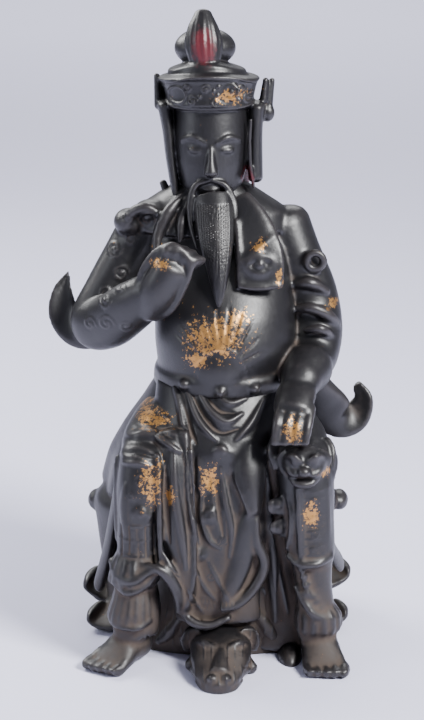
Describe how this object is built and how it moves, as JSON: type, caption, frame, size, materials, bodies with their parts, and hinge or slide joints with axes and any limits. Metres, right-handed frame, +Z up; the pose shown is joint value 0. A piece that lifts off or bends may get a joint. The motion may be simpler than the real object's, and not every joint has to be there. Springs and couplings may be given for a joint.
{
  "type": "seated guardian figure",
  "caption": "Seated bearded guardian in hat and robe, one hand stroking his beard and one on his knee, cast in one with a stool and a beast-head skin at his feet.",
  "frame": {"origin": "middle of the figure's footprint, on the surface it stands on", "axes": "+Z up through the hat, -Y the way the figure faces, +X to the viewer's right when facing it"},
  "size_m": [0.1573, 0.1429, 0.3002],
  "materials": {
    "lacquered_bronze": "near-black lacquered and patinated bronze, half gloss on the high parts and dusty brown in the hollows, with worn gilding and traces of red"
  },
  "bodies": {
    "root": {"guardian_figure": "lacquered_bronze"}
  },
  "joints": []
}
